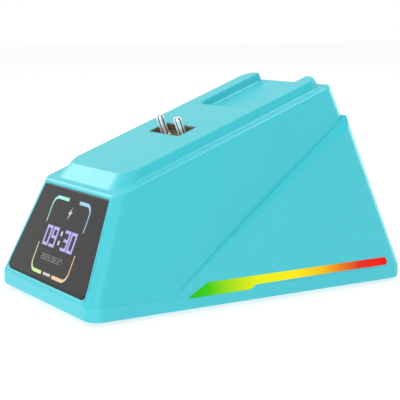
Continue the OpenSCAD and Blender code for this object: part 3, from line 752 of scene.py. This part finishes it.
for name, right, upper, run_to, leg_to, colour in (
        ("upper_left", False, True, 2.9, 3.7, (165, 240, 232)),
        ("upper_right", True, True, 4.6, 3.7, (160, 208, 240)),
        ("lower_left", False, False, 4.6, 3.4, (212, 240, 160)),
        ("lower_right", True, False, 3.3, 3.6, (245, 203, 155))):
    prisms(f"ring_{name}", [bracket(right, upper, run_to, leg_to)], lit(f"lit_{name}", colour).mat)

# ---- contacts ----
LINER_T, LINER_TOP, LINER_FLOOR = 0.55, PLAT_H - 0.2, 0.6
skin = Skin()
rings = []
for by, h in [(-0.05, -1.1), (-0.05, LINER_TOP - 0.15), (-0.15, LINER_TOP),
              (-LINER_T + 0.1, LINER_TOP), (-LINER_T, LINER_TOP - 0.1),
              (-LINER_T, LINER_FLOOR + 0.15), (-LINER_T - 0.15, LINER_FLOOR)]:
    rings.append(skin.verts([top(p.x, p.y, h) for p in opening_outline(by)]))
skin.rows(rings)
skin.bm.faces.new(rings[0])
skin.flat([rings[-1]], X, slope)
insert = add("contact_block_look", carve(skin.mesh("insert"), barrel_holes()), brown.mat)
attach(insert, "dock")
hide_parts("contact_block")

STREAKS, STREAK_TURN, STREAK_EDGES = 6, math.radians(3), (0.35, 0.9)


def streak(finish):
    """Dark lines along a bright pin, at even angles round it, that stand for a studio's reflections."""
    nodes, links = finish.nodes, finish.links
    normal = nodes.new("ShaderNodeTexCoord").outputs["Normal"]
    turn = nodes.new("ShaderNodeMath")
    turn.operation = "ARCTAN2"
    for socket, along in ((0, slope), (1, X)):
        part = nodes.new("ShaderNodeVectorMath")
        part.operation = "DOT_PRODUCT"
        part.inputs[1].default_value = along
        links.new(normal, part.inputs[0])
        links.new(part.outputs["Value"], turn.inputs[socket])
    wave = nodes.new("ShaderNodeMath")
    wave.operation = "MULTIPLY_ADD"
    wave.inputs[1].default_value, wave.inputs[2].default_value = STREAKS, -STREAKS * STREAK_TURN
    links.new(turn.outputs["Value"], wave.inputs[0])
    cosine = nodes.new("ShaderNodeMath")
    cosine.operation = "COSINE"
    links.new(wave.outputs["Value"], cosine.inputs[0])
    dark = nodes.new("ShaderNodeMapRange")
    dark.interpolation_type = "SMOOTHSTEP"
    dark.inputs["From Min"].default_value, dark.inputs["From Max"].default_value = STREAK_EDGES
    links.new(cosine.outputs["Value"], dark.inputs["Value"])
    mix = nodes.new("ShaderNodeMix")
    mix.data_type = "RGBA"
    factor, plain, line, result = mix.inputs[0], mix.inputs[6], mix.inputs[7], mix.outputs[2]
    line.default_value = (0.06, 0.075, 0.08, 1)
    links.new(dark.outputs["Result"], factor)
    links.new(finish.ramp.outputs["Color"], plain)
    links.new(result, finish.shader.inputs["Base Color"])


# painted reflection: dark streaks on the bright pins
streak(chrome)
dome = [(PIN_R * math.cos(a), PIN_TIP - PIN_R + PIN_R * math.sin(a))
        for a in [math.radians(90 * k / 10) for k in range(10)]]
for side, name in ((-1, "left"), (1, "right")):
    base_point = top(side * PIN_X, CONTACT_S, 0)
    pin = lathe(f"contact_pin_{name}_look", [(PIN_R, 0.3)] + dome + [(0.12, PIN_TIP)],
                base_point, top_normal, chrome.mat)
    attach(pin, f"contact_{name}")
    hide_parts(f"contact_pin_{name}")
    bore = PIN_R + 0.05
    ring = [(bore, BARREL_LOW), (BARREL_R, BARREL_LOW), (BARREL_R, BARREL_TOP - 0.15),
            (BARREL_R - 0.15, BARREL_TOP), (bore + 0.15, BARREL_TOP), (bore, BARREL_TOP - 0.1)]
    barrel = lathe(f"contact_barrel_{name}_look", ring + [ring[0]], base_point, top_normal,
                   rim_metal.mat)
    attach(barrel, "dock")
    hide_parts(f"contact_barrel_{name}")

# ---- mode button, its profile measured from the tip ----
FLANGE_R, FLANGE_IN, FLANGE_OUT = 3.0, -6.66, -5.86
tip_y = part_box("mode_button")[1].y / MM
cap = [(FLANGE_R, FLANGE_IN), (FLANGE_R, FLANGE_OUT), (BUTTON_R, FLANGE_OUT), (BUTTON_R, -0.5),
       (BUTTON_R - 0.07, -0.25), (BUTTON_R - 0.25, -0.07), (BUTTON_R - 0.5, 0), (1.2, -0.12),
       (0.3, -0.18)]
button = lathe("mode_button_look", cap, Vector((BUTTON_X, tip_y, PORT_Z)), Y, button_grey.mat)
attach(button, "mode_button")
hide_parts("mode_button")

# ---- CAD nodes that stay ----
looks = {
    "dark_foam": Finish("foam", (0.01, 0.01, 0.011, 1), 0.9, grain=0.8, grain_scale=1200),
    "display_module": Finish("module", (0.02, 0.02, 0.024, 1), 0.4),
    "circuit_board": Finish("solder_resist", linear(18, 92, 52), 0.35, grain=0.2,
                            grain_scale=900, drift=0.15),
    "steel": Finish("plated_steel", (0.62, 0.63, 0.65, 1), 0.28, metallic=1.0, grain=0.15,
                    grain_scale=3500),
    "flex_amber": Finish("flex_film", linear(214, 140, 44), 0.3, drift=0.08),
    "led_white": Finish("led_package", (0.85, 0.85, 0.78, 1), 0.4),
    "black_plastic": Finish("package_black", (0.012, 0.012, 0.014, 1), 0.5, grain=0.3),
    "connector_cream": Finish("nylon", (0.78, 0.72, 0.58, 1), 0.45, grain=0.2),
    "red_wire": Finish("wire_red", (0.5, 0.02, 0.015, 1), 0.4),
    "black_wire": Finish("wire_black", (0.012, 0.012, 0.012, 1), 0.45),
    "ferrite": Finish("ferrite", (0.05, 0.05, 0.055, 1), 0.7, grain=0.5),
    "capacitor_can": Finish("drawn_can", (0.7, 0.7, 0.72, 1), 0.25, metallic=1.0),
    "ballast_steel": Finish("raw_steel", (0.28, 0.29, 0.3, 1), 0.5, metallic=1.0, grain=0.4,
                            grain_scale=1500),
    "brass": rim_metal,
}
for part in frame["record"]["subparts"]:
    node, finish = frame["nodes"][part["node"]], looks.get(part["material_slot"])
    if finish and not node.hide_render:
        for material_slot in node.material_slots:
            material_slot.material = finish.mat

# ---- studio ----
FLOOR_HW, FLOOR_GLOW = 3000, 0.68
floor_skin = Skin()
floor_skin.bm.faces.new(floor_skin.verts([
    Vector((x, y, -0.02)) for x, y in box(-FLOOR_HW, FLOOR_HW, -FLOOR_HW, FLOOR_HW)]))
floor_finish = Finish("pale_floor", (0.4, 0.4, 0.4, 1), 0.9, drift=0.004)
floor_finish.glow((1, 1, 1, 1), FLOOR_GLOW)
floor_finish.shader.inputs["Specular IOR Level"].default_value = 0.1
floor = add("floor", floor_skin.mesh("floor"), floor_finish.mat, weighted=False)

# a bright surround with one dark patch, which the camera doesn't see but the dock reflects
FLAG_TOWARD = Vector((0.62, 0.18, 0.76)).normalized()
FLAG_EDGE, FLAG_CENTRE = 0.82, 0.95      # cosines of the angle from the patch's middle
BRIGHT, DARK = 0.78, 0.05
world = bpy.data.worlds.new("studio")
bpy.context.scene.world = world
world.use_nodes = True
sky, sky_link = world.node_tree.nodes, world.node_tree.links
direction = sky.new("ShaderNodeTexCoord").outputs["Generated"]
toward_flag = sky.new("ShaderNodeVectorMath")
toward_flag.operation = "DOT_PRODUCT"
toward_flag.inputs[1].default_value = FLAG_TOWARD
sky_link.new(direction, toward_flag.inputs[0])
flag = sky.new("ShaderNodeMapRange")
flag.interpolation_type = "SMOOTHSTEP"
for socket, value in (("From Min", FLAG_EDGE), ("From Max", FLAG_CENTRE), ("To Min", BRIGHT),
                      ("To Max", DARK)):
    flag.inputs[socket].default_value = value
sky_link.new(toward_flag.outputs["Value"], flag.inputs["Value"])
seen = sky.new("ShaderNodeLightPath").outputs["Is Camera Ray"]
backdrop = sky.new("ShaderNodeMath")
backdrop.operation = "MAXIMUM"
sky_link.new(seen, backdrop.inputs[0])
sky_link.new(flag.outputs["Result"], backdrop.inputs[1])
sky_link.new(backdrop.outputs["Value"], sky["Background"].inputs["Strength"])
sky["Background"].inputs["Color"].default_value = (1, 1, 1, 1)


AIM = Vector((0, 0, 0.035))


def softbox(name, direction, distance, size, power):
    """Square area light that faces the dock, in metres and watts."""
    light = bpy.data.lights.new(name, "AREA")
    light.size, light.energy = size, power
    obj = bpy.data.objects.new(name, light)
    bpy.context.scene.collection.objects.link(obj)
    obj.location = AIM + Vector(direction).normalized() * distance
    obj.rotation_euler = (obj.location - AIM).to_track_quat("Z", "Y").to_euler()


softbox("key", (-0.84, -0.27, 0.47), 1.2, 0.5, 3.0)
softbox("overhead", (-0.05, 0.25, 1.0), 1.2, 0.4, 4.2)
softbox("rim", (-0.02, 1.0, 0.12), 1.2, 0.7, 5)
softbox("strip", (0.60, -0.77, 0.2), 1.0, 0.36, 3)

CAMERA_PLACE, LENS = (0.331, -0.21039, 0.09061), 104.43
CAMERA_DOWN, CAMERA_TURN = math.radians(8.99), math.radians(57.74)
camera_data = bpy.data.cameras.new("camera")
camera_data.sensor_width, camera_data.lens = 36, LENS
camera_data.clip_start = 0.01
camera = bpy.data.objects.new("camera", camera_data)
bpy.context.scene.collection.objects.link(camera)
camera.location = CAMERA_PLACE
camera.rotation_euler = (math.pi / 2 - CAMERA_DOWN, 0, CAMERA_TURN)
bpy.context.scene.camera = camera
bpy.context.scene.view_settings.view_transform = "Standard"
bpy.context.scene.view_settings.look = "None"
